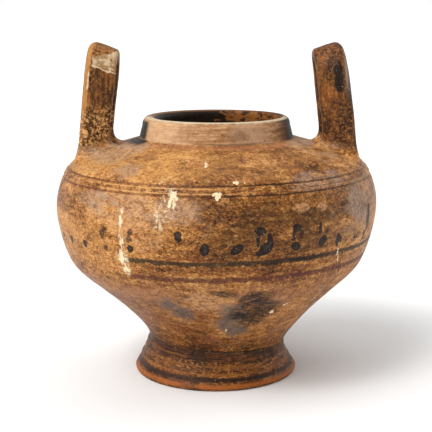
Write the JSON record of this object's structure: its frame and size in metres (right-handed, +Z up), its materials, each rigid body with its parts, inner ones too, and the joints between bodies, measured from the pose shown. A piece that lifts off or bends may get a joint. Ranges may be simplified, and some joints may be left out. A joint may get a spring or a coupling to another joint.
{
  "type": "lebes gamikos",
  "caption": "Small hollow clay vessel: flared ring foot, wide rounded bowl, sloping shoulder with low collar mouth, and upright loop handles on the shoulder.",
  "frame": {"origin": "on the ground, at the middle of the ring foot", "axes": "+Z up along the axis that the pot was thrown on, +X from one handle to the other, front of the pot towards -Y"},
  "size_m": [0.193, 0.193, 0.2],
  "materials": {
    "fired_clay": "satin"
  },
  "bodies": {
    "root": {"vessel": "fired_clay"}
  },
  "joints": []
}
